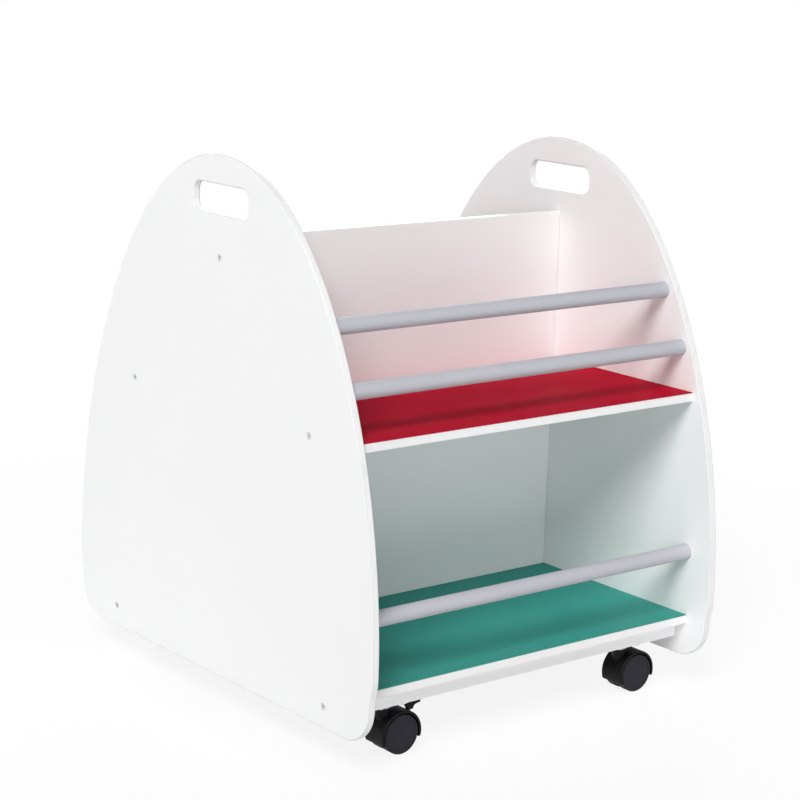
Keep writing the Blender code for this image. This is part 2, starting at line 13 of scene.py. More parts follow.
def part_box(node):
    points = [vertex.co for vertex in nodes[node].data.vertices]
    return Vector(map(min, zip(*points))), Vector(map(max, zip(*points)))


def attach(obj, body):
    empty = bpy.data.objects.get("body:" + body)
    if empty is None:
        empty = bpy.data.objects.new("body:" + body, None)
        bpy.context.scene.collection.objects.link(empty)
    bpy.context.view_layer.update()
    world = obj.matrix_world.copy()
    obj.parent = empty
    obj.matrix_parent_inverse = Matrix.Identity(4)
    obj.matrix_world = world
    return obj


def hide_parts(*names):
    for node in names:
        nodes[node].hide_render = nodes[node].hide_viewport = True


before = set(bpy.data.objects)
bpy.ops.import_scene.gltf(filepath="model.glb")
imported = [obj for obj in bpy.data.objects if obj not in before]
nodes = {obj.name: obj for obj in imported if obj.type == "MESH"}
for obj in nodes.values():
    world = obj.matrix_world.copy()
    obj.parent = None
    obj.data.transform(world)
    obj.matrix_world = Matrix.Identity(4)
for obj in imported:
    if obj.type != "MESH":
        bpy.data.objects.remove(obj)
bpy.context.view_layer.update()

panel_sides = {"left": -1, "right": 1}
caster_names = ("front_left", "front_right", "rear_left", "rear_right")
braked_casters = ("front_left", "rear_right")
bars = [f"{face}_{row}_bar" for face in ("front", "rear") for row in ("upper", "middle", "lower")]
screw_places = ("divider", "front_shelf", "rear_shelf", "front_rail", "rear_rail")
quarter_turn = math.pi / 2
fit_gap = 0.0003

# Side panels
panel_belly_height = 0.088
panel_flank_pull = 0.279
panel_crown_pull = 0.186
panel_corner_radius = 0.046
panel_foot_taper = 0.005
panel_edge_radius = 0.002
slot_length = 0.116
slot_height = 0.0355
slot_corner_radius = 0.0125
slot_below_top = 0.0545
bar_seat_depth = 0.006

# Bars and screws
bar_wall = 0.0015
bore_overrun = 1.1
screw_head_radius = 0.0045
screw_rim = 0.0006
screw_ring = 0.0001
screw_shank_radius = 0.0025
screw_neck_share = 0.96
screw_socket_radius = 0.0021
screw_socket_depth = 0.0018
plate_screw_face_radius = 0.0031
plate_screw_rim_radius = 0.0040
plate_screw_head_depth = 0.0021
plate_screw_shank_radius = 0.0019
plate_screw_socket_radius = 0.0015
plate_screw_socket_depth = 0.0012
plate_hole_spacing = 0.032

# Casters
wheel_edge_radius = 0.0018
wheel_dish_depth = 0.0006
wheel_dish_margin = 0.0035
wheel_bore_floor = 0.0045
axle_radius = 0.003
tread_clearance = 0.0018
tread_corner_margin = 0.000184
hood_wall = 0.0032
hood_edge_radius = 0.0011
hood_end_radius = 0.0026
hood_rear_angle = math.radians(-16)
hood_front_angle = math.radians(204)
web_thickness = 0.009
wheel_side_gap = 0.0005
hub_radius = 0.008
boss_radius = 0.010
boss_rise = 0.0036
boss_skirt = 0.018
boss_foot_radius = 0.006
boss_edge = 0.0010
stem_radius = 0.004
neck_radius = 0.009
plate_size = 0.044
plate_thickness = 0.0025
plate_corner_radius = 0.006
plate_hole_radius = 0.0023
plate_edge_radius = 0.0004

# Brake pedals, measured from their pivots
pedal_angle = math.radians(45)
pedal_slope = math.radians(10.8)
pedal_width = 0.006
pedal_thickness = 0.003
pedal_heel = 0.003
pedal_heel_height = 0.0084
pedal_reach = 0.0198
pedal_tip_bow = 0.004
pedal_edge = 0.0005
pedal_neck = 0.0033
pedal_neck_height = 0.0036
pedal_wedge_height = 0.0026
pedal_wedge_reach = 0.0076
pedal_wedge_end = 0.0125
pedal_wedge_pull = 0.0028
pedal_barrel_radius = 0.0026
pedal_ear_radius = 0.0023
pedal_ear_width = 0.003
pedal_stub_radius = 0.0011
pedal_slot_room = 0.0015

# Mesh making: numbers of sides that look round, and limits for welding and shading
wheel_sides = 96
bar_sides = 48
small_sides = 32
socket_sides = 6
weld_distance = 0.000005
crease_angle = math.radians(30)

# Nearly all the values of a noise lie between these
noise_low = 0.3
noise_high = 0.7

# Camera, with its place measured from the panels' foot
view_place = Vector((-1.76644, -2.18150, 0.94525))
view_right = Vector((0.7802, -0.6247, 0.0327))
view_up = Vector((0.1111, 0.1898, 0.9755))
view_ahead = Vector((0.6156, 0.7575, -0.2174))
view_lens = 99.42
view_sensor = 36.0

# Studio, in metres and watts
world_fill = 0.06
floor_half_size = 40.0
floor_tone = 0.93
floor_glow = 0.86
floor_glow_start = 0.5
floor_glow_end = 1.6
lamp_aim = Vector((0.0, 0.0, 0.35))
lamps = {
    "key": {"place": (-15.0, -12.0, 19.5), "size": 14.0, "power": 6800.0},
    "fill": {"place": (-9.5, -18.8, 1.9), "size": 12.0, "power": 1420.0},
    "back": {"place": (12.0, 15.0, 6.5), "size": 12.0, "power": 2500.0},
}


# Meshes

def new_object(name, data):
    """An object of some data, linked to the scene."""
    made = bpy.data.objects.new(name, data)
    bpy.context.scene.collection.objects.link(made)
    return made


def place_object(name, mesh, material):
    """A finished piece: its place is in its mesh, and its object is at the origin."""
    mesh.materials.clear()
    mesh.materials.append(material)
    return new_object(name, mesh)


def helper(mesh):
    """An object that only lasts while its mesh is worked on."""
    return new_object(mesh.name, mesh)


def flatten(blank):
    """The plain mesh of an object with its modifiers applied; the object is removed."""
    graph = bpy.context.evaluated_depsgraph_get()
    mesh = bpy.data.meshes.new_from_object(blank.evaluated_get(graph))
    mesh.name = blank.name
    bpy.data.objects.remove(blank, do_unlink=True)
    return mesh


def mesh_from(name, cage):
    """The mesh that a bmesh holds; the bmesh is freed."""
    mesh = bpy.data.meshes.new(name)
    cage.to_mesh(mesh)
    cage.free()
    return mesh


def welded(mesh):
    """A mesh with near-doubled points made one, slivers taken out and faces turned outwards."""
    cage = bmesh.new()
    cage.from_mesh(mesh)
    bmesh.ops.remove_doubles(cage, verts=cage.verts, dist=weld_distance)
    bmesh.ops.dissolve_degenerate(cage, edges=cage.edges, dist=weld_distance)
    bmesh.ops.recalc_face_normals(cage, faces=cage.faces)
    cage.to_mesh(mesh)
    cage.free()
    return mesh


def combined(mesh, tools):
    """A mesh after Booleans with (mesh, operation) tools, in turn."""
    blank = helper(mesh)
    spent = []
    for tool, operation in tools:
        other = helper(tool)
        spent.append(other)
        modifier = blank.modifiers.new(operation.lower(), "BOOLEAN")
        modifier.operation = operation
        modifier.solver = "EXACT"
        modifier.object = other
    result = welded(flatten(blank))
    for other in spent:
        bpy.data.objects.remove(other, do_unlink=True)
    return result


def smoothed(mesh):
    """Smooth shading that keeps hard edges hard and flat faces flat."""
    mesh.shade_smooth()
    mesh.set_sharp_from_angle(angle=crease_angle)
    blank = helper(mesh)
    even = blank.modifiers.new("even_normals", "WEIGHTED_NORMAL")
    even.keep_sharp = True
    return flatten(blank)


def joined(name, meshes):
    """Several meshes in one."""
    cage = bmesh.new()
    for mesh in meshes:
        cage.from_mesh(mesh)
    return mesh_from(name, cage)


def moved(mesh, place):
    """A copy of a mesh in another place."""
    copy = mesh.copy()
    copy.transform(place)
    return copy


def turned(name, profile, sides):
    """A closed mesh turned about Z from (radius, height) points, from the axis's top to its foot."""
    cage = bmesh.new()
    angles = [2 * math.pi * i / sides for i in range(sides)]
    rings = []
    for radius, height in profile:
        points = [(radius * math.cos(a), radius * math.sin(a), height) for a in angles]
        rings.append([cage.verts.new(point) for point in (points if radius else points[:1])])
    for upper, lower in zip(rings, rings[1:]):
        for i in range(sides):
            j = (i + 1) % sides
            around = ((upper, i), (lower, i), (lower, j), (upper, j))
            cage.faces.new(dict.fromkeys(ring[k % len(ring)] for ring, k in around))
    bmesh.ops.recalc_face_normals(cage, faces=cage.faces)
    return mesh_from(name, cage)


def arc(centre, radius, start, end, count):
    """Points on an arc from start to end in radians, both ends included."""
    angles = [start + (end - start) * i / (count - 1) for i in range(count)]
    return [(centre[0] + radius * math.cos(a), centre[1] + radius * math.sin(a)) for a in angles]


def bezier_point(ends, t):
    """The point at t on a cubic curve with four control points."""
    weights = ((1 - t) ** 3, 3 * t * (1 - t) ** 2, 3 * t * t * (1 - t), t**3)
    return tuple(sum(w * p[axis] for w, p in zip(weights, ends)) for axis in (0, 1))


def rounded_rectangle(width, height, radius, centre=(0, 0), corner_count=10):
    points = []
    for quarter, (across, up) in enumerate(((1, 1), (-1, 1), (-1, -1), (1, -1))):
        corner = (centre[0] + across * (width / 2 - radius), centre[1] + up * (height / 2 - radius))
        start = quarter * quarter_turn
        points += arc(corner, radius, start, start + quarter_turn, corner_count)
    return points


def sheet_of(name, outlines, thickness, edge_radius=0.0, edge_steps=0):
    """A plate about Z from closed outlines, the rim first and then the holes, with rounded edges."""
    curve = bpy.data.curves.new(name, "CURVE")
    curve.dimensions = "2D"
    curve.fill_mode = "BOTH"
    curve.extrude = thickness / 2 - edge_radius
    curve.bevel_depth = edge_radius
    curve.bevel_resolution = edge_steps
    curve.offset = -edge_radius
    for outline in outlines:
        spline = curve.splines.new("POLY")
        spline.points.add(len(outline) - 1)
        for point, (x, y) in zip(spline.points, outline):
            point.co = (x, y, 0, 1)
        spline.use_cyclic_u = True
    return welded(flatten(new_object(name, curve)))


def cylinder(name, radius, length, place, sides=small_sides):
    half = length / 2
    return moved(turned(name, ((0, half), (radius, half), (radius, -half), (0, -half)), sides), place)


def block(name, low, high):
    cage = bmesh.new()
    size = Matrix.Diagonal((*(high - low), 1.0))
    bmesh.ops.create_cube(cage, size=1.0, matrix=Matrix.Translation((low + high) / 2) @ size)
    return mesh_from(name, cage)


to_x = Matrix.Rotation(quarter_turn, 4, "Y")
to_y = Matrix.Rotation(quarter_turn, 4, "X")
upright = Matrix.Rotation(quarter_turn, 4, "Z") @ to_y


# Node trees

class Field:
    """A socket's value. Python's operators on it add Math nodes to its tree."""

    def __init__(self, tree, socket):
        self.tree = tree
        self.socket = socket

    def math(self, operation, first, second):
        return self.tree.node("ShaderNodeMath", {"operation": operation}, {0: first, 1: second})

    def __add__(self, other):
        return self.math("ADD", self, other)

    def __sub__(self, other):
        return self.math("SUBTRACT", self, other)

    def __rsub__(self, other):
        return self.math("SUBTRACT", other, self)

    def __mul__(self, other):
        return self.math("MULTIPLY", self, other)

    def __truediv__(self, other):
        return self.math("DIVIDE", self, other)

    def __neg__(self):
        return self.math("MULTIPLY", self, -1.0)

    def __abs__(self):
        return self.math("ABSOLUTE", self, 0.0)

    __radd__ = __add__
    __rmul__ = __mul__


class Tree:
    """A node tree in the making. Every node in it comes from one method."""

    def __init__(self, tree):
        self.tree = tree

    def node(self, kind, settings, sockets, output=0):
        """Adds a node. Its settings come first, then the values or Fields of its sockets."""
        made = self.tree.nodes.new(kind)
        for name, value in settings.items():
            setattr(made, name, value)
        for socket, value in sockets.items():
            self.fill(made.inputs[socket], value)
        return Field(self, made.outputs[output]) if made.outputs else None

    def fill(self, socket, value):
        """Gives a socket a value or a link, or several links from a list."""
        for each in value if isinstance(value, list) else [value]:
            if isinstance(each, Field):
                self.tree.links.new(each.socket, socket)
            else:
                socket.default_value = each

    def between(self, field, low, high, to_low=0.0, to_high=1.0):
        """A smooth step from to_low, where the field is low, to to_high, where it is high."""
        sockets = {"Value": field, "From Min": low, "From Max": high, "To Min": to_low, "To Max": to_high}
        return self.node("ShaderNodeMapRange", {"interpolation_type": "SMOOTHSTEP"}, sockets)

    def seen_directly(self):
        """1 for rays from the camera, from a mirror or through glass, and 0 for light on the object."""
        kinds = ("Is Camera Ray", "Is Glossy Ray", "Is Transmission Ray")
        camera, glossy, through = [self.node("ShaderNodeLightPath", {}, {}, kind) for kind in kinds]
        return camera + glossy + through


# Finishes

class Finish(Tree):
    """A material in the making, with the nodes that these finishes share."""

    def __init__(self, name, **fixed):
        self.material = bpy.data.materials.new(name)
        self.material.use_nodes = True
        super().__init__(self.material.node_tree)
        self.shader = self.tree.nodes["Principled BSDF"]
        self.paint(**fixed)

    def paint(self, **values):
        """Fills the shader's sockets: base_color is Base Color, and so on."""
        for name, value in values.items():
            socket = name.replace("_", " ").title().replace("Ior", "IOR")
            self.fill(self.shader.inputs[socket], value)
        return self.material

    def noise(self, scale, detail=2.0, stretch=(1, 1, 1)):
        """A noise in the object's own coordinates, finer along an axis with a larger stretch."""
        where = self.node("ShaderNodeTexCoord", {}, {}, "Object")
        where = self.node("ShaderNodeMapping", {}, {"Vector": where, "Scale": stretch})
        sockets = {"Vector": where, "Scale": scale, "Detail": detail}
        return self.node("ShaderNodeTexNoise", {}, sockets, "Fac")

    def patches(self, low, high, **noise):
        """Soft patches of a noise: 0 where it is below low, and 1 where it is above high."""
        return self.between(self.noise(**noise), low, high)

    def spread(self, noise, low, high):
        """A noise spread over a range of values."""
        return self.between(noise, noise_low, noise_high, low, high)

    def facing(self, axis):
        """How far the surface faces along an axis, either way: 1 is straight on."""
        normal = self.node("ShaderNodeTexCoord", {}, {}, "Normal")
        return abs(self.node("ShaderNodeSeparateXYZ", {}, {0: normal}, axis))

    def mix(self, first, second, share):
        """A colour between two others."""
        sockets = {"Factor": share, 6: first, 7: second}
        return self.node("ShaderNodeMix", {"data_type": "RGBA"}, sockets, 2)

    def bump(self, height, strength, depth):
        return self.node("ShaderNodeBump", {}, {"Height": height, "Strength": strength, "Distance": depth})


def colour(red, green, blue):
    return (red, green, blue, 1.0)


def white_lacquer():
    """Sprayed white board: faint orange peel, cloudy gloss and a handled rim, with painted shade that darkens
    the rim a little and the roundings more.
    """
    finish = Finish("white_lacquer")
    bright = colour(0.875, 0.876, 0.880)
    dull = colour(0.850, 0.851, 0.856)
    # Painted shade: the rim is painted a little darker than the faces, and the roundings darker still
    edge = colour(0.830, 0.830, 0.836)
    rounding_shade = colour(0.640, 0.640, 0.646)
    handled = colour(0.66, 0.65, 0.63)
    wear = 0.35
    rim = 1 - finish.facing("X")
    # Painted shade band: 0 on the faces and on the rim, and 1 half-way round the roundings between them
    rounding_shade_band = rim * (1 - rim) * 4
    marks = finish.patches(0.52, 0.74, scale=34.0, detail=6.0)
    tone = finish.mix(bright, dull, finish.noise(scale=4.0, detail=3.0))
    # Painted shade: the rim darker, then the roundings darker still
    tone = finish.mix(tone, edge, rim)
    tone = finish.mix(tone, rounding_shade, rounding_shade_band)
    tone = finish.mix(tone, handled, marks * rim * wear)
    gloss = finish.spread(finish.noise(scale=11.0, detail=4.0), 0.34, 0.44)
    peel = finish.bump(finish.noise(scale=620.0, detail=1.0), strength=0.12, depth=0.0002)
    return finish.paint(base_color=tone, roughness=gloss, normal=peel)


def white_melamine(name, bright, dull):
    """Faced board: a fine pearl grain with faint specks."""
    finish = Finish(name)
    speck = colour(0.74, 0.73, 0.71)
    speck_share = 0.22
    specks = finish.patches(0.64, 0.74, scale=420.0)
    tone = finish.mix(bright, dull, finish.noise(scale=7.0, detail=3.0))
    tone = finish.mix(tone, speck, specks * speck_share)
    gloss = finish.spread(finish.noise(scale=18.0, detail=4.0), 0.40, 0.52)
    pearl = finish.bump(finish.noise(scale=900.0), strength=0.15, depth=0.0002)
    return finish.paint(base_color=tone, roughness=gloss, normal=pearl)


def laminate(name, deep, light, coat):
    """Semi-gloss laminate: a cloudy tone under a thin clear coat, scuffed along the shelf's depth."""
    finish = Finish(name, specular_ior_level=0.0, coat_roughness=0.08)
    cloud_share = 0.8
    scuff_share = 0.2
    coat_variation = 0.2
    coat_loss = 0.3
    clouds = finish.noise(scale=9.0, detail=4.0)
    scuffs = finish.patches(0.54, 0.74, scale=36.0, detail=7.0, stretch=(6.0, 1.0, 1.0))
    tone = finish.mix(deep, light, clouds * cloud_share + scuffs * scuff_share)
    most = coat * (1 + coat_variation)
    least = coat * (1 - coat_variation)
    shine = finish.spread(finish.noise(scale=24.0, detail=5.0), most, least) - scuffs * coat * coat_loss
    grain = finish.noise(scale=760.0, detail=1.0)
    gloss = finish.spread(grain, 0.42, 0.54)
    bump = finish.bump(grain, strength=0.06, depth=0.0002)
    return finish.paint(base_color=tone, roughness=gloss, coat_weight=shine, normal=bump)


def grey_enamel():
    """Powder coat on the round bars: pebbled and satin, with rubbed patches drawn out along them."""
    finish = Finish("grey_enamel", specular_ior_level=0.0, coat_roughness=0.35)
    pale = colour(0.505, 0.508, 0.552)
    deep = colour(0.468, 0.471, 0.515)
    worn = colour(0.60, 0.60, 0.63)
    wear = 0.25
    polish = 0.06
    coat = 0.22
    coat_loss = 0.08
    clouds = finish.noise(scale=12.0, detail=3.0, stretch=(0.3, 1.0, 1.0))
    rubbed = finish.patches(0.56, 0.74, scale=46.0, detail=6.0, stretch=(0.35, 1.0, 1.0))
    tone = finish.mix(finish.mix(pale, deep, clouds), worn, rubbed * wear)
    pebbles = finish.noise(scale=1500.0, detail=1.0)
    gloss = finish.spread(pebbles, 0.34, 0.44) - rubbed * polish
    shine = coat - rubbed * coat_loss
    bump = finish.bump(pebbles, strength=0.12, depth=0.0001)
    return finish.paint(base_color=tone, roughness=gloss, coat_weight=shine, normal=bump)


def black_nylon():
    """Black moulded plastic: spark-eroded grain, paler and rougher where it is scuffed."""
    finish = Finish("black_nylon", specular_ior_level=0.12)
    deep = colour(0.0030, 0.0030, 0.0038)
    pale = colour(0.0120, 0.0118, 0.0130)
    cloud_share = 0.5
    scuff_share = 0.35
    scuff_roughness = 0.08
    clouds = finish.noise(scale=60.0, detail=3.0)
    scuffs = finish.patches(0.56, 0.70, scale=240.0, detail=7.0)
    tone = finish.mix(deep, pale, clouds * cloud_share + scuffs * scuff_share)
    gloss = finish.spread(clouds, 0.33, 0.44) + scuffs * scuff_roughness
    grain = finish.bump(finish.noise(scale=2600.0), strength=0.25, depth=0.0001)
    return finish.paint(base_color=tone, roughness=gloss, normal=grain)


def wheel_nylon():
    """Wheels: a satin disc, and a rougher tread that has picked up grey from the floor."""
    finish = Finish("wheel_nylon", specular_ior_level=0.18)
    disc_pale = colour(0.0152, 0.0140, 0.0214)
    disc_deep = colour(0.0115, 0.0106, 0.0169)
    tread_black = colour(0.008, 0.008, 0.009)
    floor_grey = colour(0.060, 0.058, 0.055)
    dust_share = 0.30
    tread_roughness = 0.18
    disc = finish.between(finish.facing("Y"), 0.80, 0.97)
    clouds = finish.noise(scale=70.0, detail=4.0)
    dust = finish.patches(0.45, 0.70, scale=320.0, detail=6.0)
    face = finish.mix(disc_pale, disc_deep, clouds)
    tread = finish.mix(tread_black, floor_grey, dust * dust_share)
    tone = finish.mix(tread, face, disc)
    gloss = finish.spread(clouds, 0.40, 0.50) + (1 - disc) * tread_roughness
    grain = finish.bump(finish.noise(scale=2200.0), strength=0.2, depth=0.0001)
    return finish.paint(base_color=tone, roughness=gloss, normal=grain)


def plated_steel(name, bright, dull, scale):
    """Zinc plate: a cloudy spangle and fine scratches."""
    finish = Finish(name, metallic=1.0)
    fine_scale = scale * 2.5
    scratch_roughness = 0.10
    spangle = finish.noise(scale=scale, detail=4.0)
    scratches = finish.patches(0.50, 0.66, scale=fine_scale, detail=3.0, stretch=(1.0, 9.0, 1.0))
    tone = finish.mix(bright, dull, spangle)
    gloss = finish.spread(spangle, 0.26, 0.42) + scratches * scratch_roughness
    bump = finish.bump(scratches, strength=0.1, depth=0.00005)
    return finish.paint(base_color=tone, roughness=gloss, normal=bump)


def beech():
    """Bare beech: straight grain along the dowel with short dark flecks."""
    finish = Finish("beech")
    pale = colour(0.58, 0.38, 0.21)
    deep = colour(0.47, 0.29, 0.15)
    fleck = colour(0.30, 0.17, 0.08)
    fleck_share = 0.5
    grain = finish.noise(scale=300.0, detail=4.0, stretch=(1.0, 1.0, 0.06))
    flecks = finish.patches(0.60, 0.70, scale=900.0, stretch=(1.0, 1.0, 0.15))
    tone = finish.mix(finish.mix(pale, deep, grain), fleck, flecks * fleck_share)
    gloss = finish.spread(grain, 0.60, 0.75)
    bump = finish.bump(grain, strength=0.2, depth=0.0001)
    return finish.paint(base_color=tone, roughness=gloss, normal=bump)


lacquer = white_lacquer()
melamine = white_melamine("white_melamine", colour(0.850, 0.850, 0.856), colour(0.825, 0.826, 0.832))
# The rails get a brighter copy of the shelves' melamine: painted light that makes up for the shade under the
# bottom shelf's overhang
rail_white = white_melamine("rail_white", colour(0.940, 0.940, 0.945), colour(0.920, 0.920, 0.926))
red_laminate = laminate("red_laminate", colour(0.430, 0.0024, 0.020), colour(0.475, 0.0048, 0.027), 0.07)
green_laminate = laminate("green_laminate", colour(0.035, 0.282, 0.236), colour(0.049, 0.332, 0.282), 0.20)
enamel = grey_enamel()
hood_plastic = black_nylon()
wheel_plastic = wheel_nylon()
screw_zinc = plated_steel("screw_zinc", colour(0.74, 0.74, 0.76), colour(0.60, 0.60, 0.62), scale=500.0)
plate_zinc = plated_steel("plate_zinc", colour(0.56, 0.56, 0.57), colour(0.42, 0.42, 0.44), scale=160.0)
dowel_beech = beech()


# Repeats made by Geometry Nodes

class Repeat(Tree):
    """A Geometry Nodes tree that puts one shape on each point of a mesh. Given holds its named inputs."""

    def __init__(self, name, sizes):
        super().__init__(bpy.data.node_groups.new(name, "GeometryNodeTree"))
        self.sockets = {}
        self.add_socket("Points", "NodeSocketGeometry", "INPUT")
        for size in sizes:
            self.add_socket(size, "NodeSocketFloat", "INPUT")
        self.add_socket("Turn", "NodeSocketVector", "INPUT")
        self.add_socket("Finish", "NodeSocketMaterial", "INPUT")
        self.given = {each: self.node("NodeGroupInput", {}, {}, each) for each in self.sockets}
        self.add_socket("Pieces", "NodeSocketGeometry", "OUTPUT")

    def add_socket(self, name, kind, way):
        made = self.tree.interface.new_socket(name, in_out=way, socket_type=kind)
        self.sockets[name] = made.identifier

    def shifted(self, shape, height):
        """A shape moved along Z."""
        place = self.node("ShaderNodeCombineXYZ", {}, {"Z": height})
        return self.node("GeometryNodeTransform", {}, {"Geometry": shape, "Translation": place})

    def drum(self, sides, radius, length):
        sockets = {"Vertices": sides, "Radius": radius, "Depth": length}
        return self.node("GeometryNodeMeshCylinder", {}, sockets)

    def union(self, shapes):
        settings = {"operation": "UNION", "solver": "EXACT"}
        return self.node("GeometryNodeMeshBoolean", settings, {"Mesh 2": shapes})

    def cut(self, shape, tool):
        settings = {"operation": "DIFFERENCE", "solver": "EXACT"}
        return self.node("GeometryNodeMeshBoolean", settings, {"Mesh 1": shape, "Mesh 2": tool})

    def close(self, shape):
        """Ends the tree: the shape on each point, made real, in its finish."""
        given = self.given
        turn = self.node("FunctionNodeEulerToRotation", {}, {0: given["Turn"]})
        sockets = {"Points": given["Points"], "Instance": shape, "Rotation": turn}
        copies = self.node("GeometryNodeInstanceOnPoints", {}, sockets)
        real = self.node("GeometryNodeRealizeInstances", {}, {0: copies})
        sockets = {"Geometry": real, "Material": given["Finish"]}
        dressed = self.node("GeometryNodeSetMaterial", {}, sockets)
        self.node("NodeGroupOutput", {}, {"Pieces": dressed})

    def make(self, name, points, material, **values):
        """A plain, smooth mesh of the shape on each of the points, as a finished piece."""
        mesh = bpy.data.meshes.new(name)
        mesh.from_pydata([tuple(point) for point in points], [], [])
        blank = helper(mesh)
        modifier = blank.modifiers.new(name, "NODES")
        modifier.node_group = self.tree
        modifier[self.sockets["Finish"]] = material
        for size, value in values.items():
            modifier[self.sockets[size.replace("_", " ").capitalize()]] = value
        return place_object(name, smoothed(welded(flatten(blank))), material)


def tube_tree():
    """Round tubes, each along Z before it is turned."""
    tubes = Repeat("tubes", ("Radius", "Wall", "Length"))
    given = tubes.given
    outer = tubes.drum(bar_sides, given["Radius"], given["Length"])
    inner = tubes.drum(bar_sides, given["Radius"] - given["Wall"], given["Length"] * bore_overrun)
    tubes.close(tubes.cut(outer, inner))
    return tubes


def screw_tree():
    """Screws with a six-sided socket in a face at height 0. Their neck is narrower or wider than the face."""
    screws = Repeat("screws", ("Face", "Neck", "Head depth", "Shank", "Length", "Socket", "Socket depth"))
    given = screws.given
    sockets = {
        "Vertices": small_sides,
        "Radius Top": given["Face"],
        "Radius Bottom": given["Neck"],
        "Depth": given["Head depth"],
    }
    head = screws.shifted(screws.node("GeometryNodeMeshCone", {}, sockets), -given["Head depth"])
    shank = screws.drum(small_sides, given["Shank"], given["Length"])
    shank = screws.shifted(shank, -(given["Length"] + given["Head depth"]) / 2)
    socket = screws.drum(socket_sides, given["Socket"], given["Socket depth"] * 2)
    screws.close(screws.cut(screws.union([head, shank]), socket))
    return screws


# Side panels

def middle_of(node):
    low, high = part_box(node)
    return (low + high) / 2


panel_low, panel_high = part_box("left_panel")
panel_bottom = panel_low.z
panel_height = panel_high.z - panel_low.z
panel_depth = panel_high.y - panel_low.y
panel_thickness = panel_high.x - panel_low.x


def flank_curve():
    """Control points of the side of the panel, from its belly to its crown, as (depth, height)."""
    belly = (panel_depth / 2, panel_belly_height)
    crown = (0.0, panel_height)
    return (belly, (belly[0], belly[1] + panel_flank_pull), (panel_crown_pull, crown[1]), crown)


def panel_outline(corner_count=20, foot_count=8, flank_count=80):
    """The egg shape as (depth, height): a rounded foot, a slight taper to the belly, and the flanks."""
    foot = panel_depth / 2 - panel_foot_taper
    corner_centre = (foot - panel_corner_radius, panel_corner_radius)
    corner = arc(corner_centre, panel_corner_radius, -quarter_turn, 0, corner_count)
    rise = (panel_belly_height - panel_corner_radius) / 2
    belly = flank_curve()[0]
    foot_curve = (corner[-1], (corner[-1][0], corner[-1][1] + rise), (belly[0], belly[1] - rise), belly)
    half = corner[:-1]
    half += [bezier_point(foot_curve, i / foot_count) for i in range(foot_count)]
    half += [bezier_point(flank_curve(), i / flank_count) for i in range(flank_count)]
    crown = flank_curve()[-1]
    return half + [crown] + [(-depth, height) for depth, height in reversed(half)]


def screw_head_place(side_name, side, place):
    """The middle of a connector screw's face."""
    low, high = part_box(f"{side_name}_{place}_screw")
    return Vector((low.x if side < 0 else high.x, (low.y + high.y) / 2, (low.z + high.z) / 2))


def faced(side):
    """Turns a shape that looks along +Z to look out through the left or right panel."""
    return Matrix.Rotation(side * quarter_turn, 4, "Y")


def screw_space(place, side):
    """The hole that a countersunk screw sinks in, opened out through the panel's face."""
    head = screw_head_radius + screw_ring
    shank = screw_shank_radius + screw_ring
    reach = 2 * panel_thickness
    profile = (
        (0, panel_thickness),
        (head, panel_thickness),
        (head, -screw_rim),
        (shank, -screw_rim - (head - shank)),
        (shank, -reach),
        (0, -reach),
    )
    return moved(turned("screw_space", profile, small_sides), Matrix.Translation(place) @ faced(side))


def side_panel(side_name, side):
    """An egg-shaped panel with its handle slot, screw holes and blind bar seats."""
    name = side_name + "_panel"
    slot = rounded_rectangle(slot_length, slot_height, slot_corner_radius, (0, panel_height - slot_below_top))
    outlines = [panel_outline(), slot[::-1]]
    blank = sheet_of(name, outlines, panel_thickness, panel_edge_radius, edge_steps=4)
    middle = middle_of(name)
    blank.transform(Matrix.Translation((middle.x, 0, panel_bottom)) @ upright)
    inner_face = middle.x - side * panel_thickness / 2
    cuts = [screw_space(screw_head_place(side_name, side, place), side) for place in screw_places]
    for bar in bars:
        low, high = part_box(bar)
        centre = (low + high) / 2
        radius = (high.z - low.z) / 2 + fit_gap
        place = Matrix.Translation((inner_face, centre.y, centre.z)) @ to_x
        cuts.append(cylinder("bar_seat", radius, 2 * bar_seat_depth, place, bar_sides))
    mesh = combined(blank, [(joined("panel_cuts", cuts), "DIFFERENCE")])
    piece = place_object(name + "_face", smoothed(mesh), lacquer)
    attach(piece, "case")
    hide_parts(name)


def round_bars():
    low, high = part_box(bars[0])
    tubes = tube_tree()
    piece = tubes.make(
        "round_bars",
        [middle_of(bar) for bar in bars],
        enamel,
        radius=(high.z - low.z) / 2,
        wall=bar_wall,
        length=high.x - low.x,
        turn=(0.0, quarter_turn, 0.0),
    )
    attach(piece, "case")
    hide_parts(*bars)


def connector_screws(tree, side_name, side):
    """Countersunk screws through one side panel."""
    names = [f"{side_name}_{place}_screw" for place in screw_places]
    low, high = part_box(names[0])
    piece = tree.make(
        side_name + "_connector_screws",
        [screw_head_place(side_name, side, place) for place in screw_places],
        screw_zinc,
        face=screw_head_radius,
        neck=screw_shank_radius * screw_neck_share,
        head_depth=screw_head_radius - screw_shank_radius,
        shank=screw_shank_radius,
        length=high.x - low.x - screw_head_radius,
        socket=screw_socket_radius,
        socket_depth=screw_socket_depth,
        turn=(0.0, side * quarter_turn, 0.0),
    )
    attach(piece, "case")
    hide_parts(*names)


def hole_places():
    """Where the four screws go through a caster plate, from its middle."""
    half = plate_hole_spacing / 2
    return [(x, y) for x in (-half, half) for y in (-half, half)]


